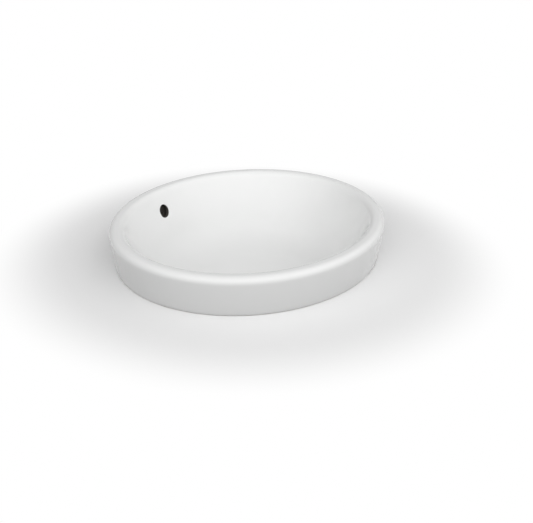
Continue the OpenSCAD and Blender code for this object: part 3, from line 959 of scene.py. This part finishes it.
def coil():
    tree, board = new_growth("coil", {
        "Turns": "Float", "Coil Radius": "Float", "Wire Radius": "Float", "Low": "Float",
        "High": "Float", "Close Pitch": "Float", "Material": "Material"})
    given = board.given
    steps = SPRING_TURNS * STEPS_PER_TURN
    path = board.add("GeometryNodeCurvePrimitiveLine", None, {"End": (0.0, 0.0, 1.0)})
    path = board.add("GeometryNodeResampleCurve", None, {"Curve": path, "Count": steps + 1})
    share = board.add("GeometryNodeInputIndex") / float(steps)
    part = 1.0 / given["Turns"]
    ends = share.math("MINIMUM", part) + (share - 1.0 + part).math("MAXIMUM", 0.0)
    between = ((share - part) / (1.0 - 2.0 * part)).math("MAXIMUM", 0.0).math("MINIMUM", 1.0)
    open_rise = given["High"] - given["Low"] - 2.0 * given["Close Pitch"]
    height = given["Low"] + given["Close Pitch"] * ends / part + open_rise * between
    turn = share * given["Turns"] * math.tau
    across = given["Coil Radius"] * turn.math("COSINE")
    along = given["Coil Radius"] * turn.math("SINE")
    place = board.add("ShaderNodeCombineXYZ", None, {0: across, 1: along, 2: height})
    moved = board.add("GeometryNodeSetPosition", None, {"Geometry": path, "Position": place})
    section = board.add("GeometryNodeCurvePrimitiveCircle", None, {
        "Resolution": 16, "Radius": given["Wire Radius"]})
    tube = board.add("GeometryNodeCurveToMesh", None, {
        "Curve": moved, "Profile Curve": section, "Fill Caps": True})
    end_growth(board, board.add("GeometryNodeSetShadeSmooth", None, {"Geometry": tube}))
    return tree


spring = grown("spring", coil(), bpy.data.meshes.new("spring_seed"), {
    "Turns": float(SPRING_TURNS), "Coil Radius": 4.6 * MM, "Wire Radius": 0.4 * MM,
    "Low": -122.1 * MM, "High": -102.98 * MM, "Close Pitch": 1.4 * MM, "Material": wire})
face_outwards(spring.data)
seat(spring, "cartridge_spring")
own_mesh(spring)

# %% [markdown]
# ## The plug
# A domed chrome cap with a rubber ring in a groove on its underside. The dome runs into a rolled edge,
# which is why it never shows a hard line.

# %% The cap and its seal
SEAL_IN, SEAL_OUT, GROOVE_Z, CAP_LIFT = 24.5, 27.5, -69.5, 8.2


def cap_profile():
    points = [(0, -68.7), (2.9, -68.7), (3.02, -68.9), (3.02, -73.5), (3.2, -73.7)]
    points += fillet((6, -73.7), (0, -73.7), (6, 0), 0.5, 3)
    points += bend((6, -71.7), (6, -71.1), (6.4, -70.7), (7, -70.7), 4)
    points += [(SEAL_IN - 0.1, -70.7), (SEAL_IN, -70.6), (SEAL_IN, -69.6), (SEAL_IN + 0.1, GROOVE_Z)]
    points += [(SEAL_OUT - 0.1, GROOVE_Z), (SEAL_OUT, -69.6), (SEAL_OUT, -70.6), (SEAL_OUT + 0.1, -70.7)]
    points += bend((29.8, -70.7), (30.6, -70.7), (31, -70.3), (31, -69.5), 6)
    angles = [math.radians(12 + 3 * i) for i in range(27)]
    dome = [(31 * math.cos(a), -68.2 + 3 * math.sin(a)) for a in angles]
    return points + bend((31, -69.2), (31, -68.5), (30.7, -67.9), dome[0], 6)[:-1] + dome


def seal_profile():
    low_in, low_out = ((r, dish_z(r) + CAP_LIFT) for r in (SEAL_IN, SEAL_OUT))
    high_in, high_out = (SEAL_IN, GROOVE_Z), (SEAL_OUT, GROOVE_Z)
    points = fillet(low_in, high_in, low_out, 0.4, 3)
    points += fillet(low_out, low_in, high_out, 0.4, 3)
    points += fillet(high_out, (SEAL_OUT, -72), high_in, 0.2, 2)
    return points + fillet(high_in, high_out, (SEAL_IN, -72), 0.2, 2)


cap = turned("cap", cap_profile(), chrome, columns=160, crease=40)
seat(cap, "plug_cap", "plug")
seal = turned("seal", seal_profile(), rubber, columns=160)
seat(seal, "cap_seal", "plug")

# %% [markdown]
# ## The floor
# The band carries the basin and the bowl hangs below its foot, so the floor lies at the height of the
# foot and has an oval cut-out inside it. It lies a tenth of a millimetre low, because two faces in one
# plane render black where they overlap. It is pale for the camera and for reflections, fades to white
# far out, and throws little light back, because that would flatten the shading of the band.

# %% A pale floor with an oval cut-out
def pale_floor(reach=520, hole=(259, 233), drop=0.1, fade_from=340, fade_to=500, columns=128, rows=8):
    material, board = new_material("pale_floor")
    camera, glossy, passing = board.rays()
    looks = camera.math("MAXIMUM", glossy).math("MAXIMUM", passing)
    colour = board.mix(looks, (0.14, 0.14, 0.14, 1), (0.93, 0.93, 0.93, 1))
    matt = board.add("ShaderNodeBsdfDiffuse", None, {"Color": colour})
    bright = board.add("ShaderNodeEmission", None, {"Color": (1, 1, 1, 1), "Strength": 1.0})
    x, y, _ = board.axes(board.place)
    far = (x * x + y * y).math("SQRT")
    fade = board.soft_step(far, fade_from * MM, fade_to * MM) * looks
    both = board.add("ShaderNodeMixShader", None, {0: fade, 1: matt, 2: bright})
    board.add("ShaderNodeOutputMaterial", None, {"Surface": both})
    mesh = bpy.data.meshes.new("pale_floor")
    ovals = [[half + (reach - half) * i / rows for half in hole] for i in range(rows + 1)]
    angles = [math.tau * k / columns for k in range(columns)]
    verts = [(a * math.cos(angle) * MM, b * math.sin(angle) * MM, -drop * MM)
             for a, b in ovals for angle in angles]
    corners = [(k, k + columns, (k + 1) % columns + columns, (k + 1) % columns) for k in range(columns)]
    faces = [[i * columns + corner for corner in face] for i in range(rows) for face in corners]
    mesh.from_pydata(verts, [], faces)
    mesh.materials.append(material)
    floor = bpy.data.objects.new("pale_floor", mesh)
    scene.collection.objects.link(floor)
    print("floor: ring of", len(mesh.polygons), "faces")


pale_floor()

# %% [markdown]
# ## The camera
# The direction, distance and focal length come from matching the ovals of the rim and of the foot with
# the photograph. The camera looks at the basin from the front left and above.

# %% Set the camera
def set_camera(turn=-56.371, rise=25.564, roll=0.458, away=1720.3, right=-33.4, up=20.6,
               focus=900.0, width=533.0):
    a, e, r = (math.radians(v) for v in (turn, rise, roll))
    back = Vector((math.sin(a) * math.cos(e), -math.cos(a) * math.cos(e), math.sin(e)))
    side = Vector((math.cos(a), math.sin(a), 0))
    over = back.cross(side)
    side, over = side * math.cos(r) + over * math.sin(r), over * math.cos(r) - side * math.sin(r)
    data = bpy.data.cameras.new("camera")
    data.sensor_width, data.lens = 36.0, 36.0 * focus / width
    data.clip_start, data.clip_end = 0.05, 20.0
    camera = bpy.data.objects.new("camera", data)
    place = (back * away - side * right - over * up) * MM
    camera.matrix_world = Matrix.Translation(place) @ Matrix((side, over, back)).transposed().to_4x4()
    scene.collection.objects.link(camera)
    scene.camera = camera
    print("camera at", [round(v, 3) for v in place], "lens", round(data.lens, 2))


set_camera()

# %% [markdown]
# ## The light
# White ware is photographed in a tent of cloth that is lit from outside, so that no lamp shows in the
# glaze. The world is that tent: a faint base and seven wide soft lobes, each with a direction and a
# strength. Light adds up, so the strengths could be worked out: the basin was rendered under one lobe
# at a time, the sum was fitted to the tones that the photograph has on the rim, band and bowl, and the
# strengths were then trimmed a little after test renders. Each lobe is (turn, rise, strength), and a
# turn of 0 is the front. To the camera and through glass the tent is plain white. In reflections it is
# half white and half lobes, so that metal shows the pale background and still has a light and a dark
# side.

# %% A tent of light with soft lobes round it
LOBES = {
    "front": (0, 20, 1.02),
    "front_right": (45, 35, 0.55),
    "right": (90, 35, 0.31),
    "front_left": (315, 30, 0.87),
    "left": (270, 35, 1.20),
    "back_left": (225, 35, 0.34),
    "below": (0, -90, 0.55),
}


def set_world(base=0.06, width=4.0):
    world = bpy.data.worlds.new("tent")
    world.use_nodes = True
    world.node_tree.nodes.clear()
    board = Board(world.node_tree)
    way = board.add("ShaderNodeTexCoord", None, None, "Generated")
    level = base
    for turn, rise, strength in LOBES.values():
        a, e = math.radians(turn), math.radians(rise)
        towards = (math.sin(a) * math.cos(e), -math.cos(a) * math.cos(e), math.sin(e))
        facing = board.vectors("DOT_PRODUCT", way, towards, out="Value")
        level = level + strength * facing.math("MAXIMUM", 0.0).math("POWER", width)
    light = board.add("ShaderNodeBackground", None, {"Color": (1.0, 1.0, 1.0, 1), "Strength": level})
    white = board.add("ShaderNodeBackground", None, {"Color": (1, 1, 1, 1), "Strength": 1.0})
    camera, glossy, passing = board.rays()
    looks = camera.math("MAXIMUM", passing).math("MAXIMUM", 0.5 * glossy)
    both = board.add("ShaderNodeMixShader", None, {0: looks, 1: light, 2: white})
    board.add("ShaderNodeOutputWorld", None, {"Surface": both})
    scene.world = world


set_world()

scene.view_settings.view_transform = "Standard"
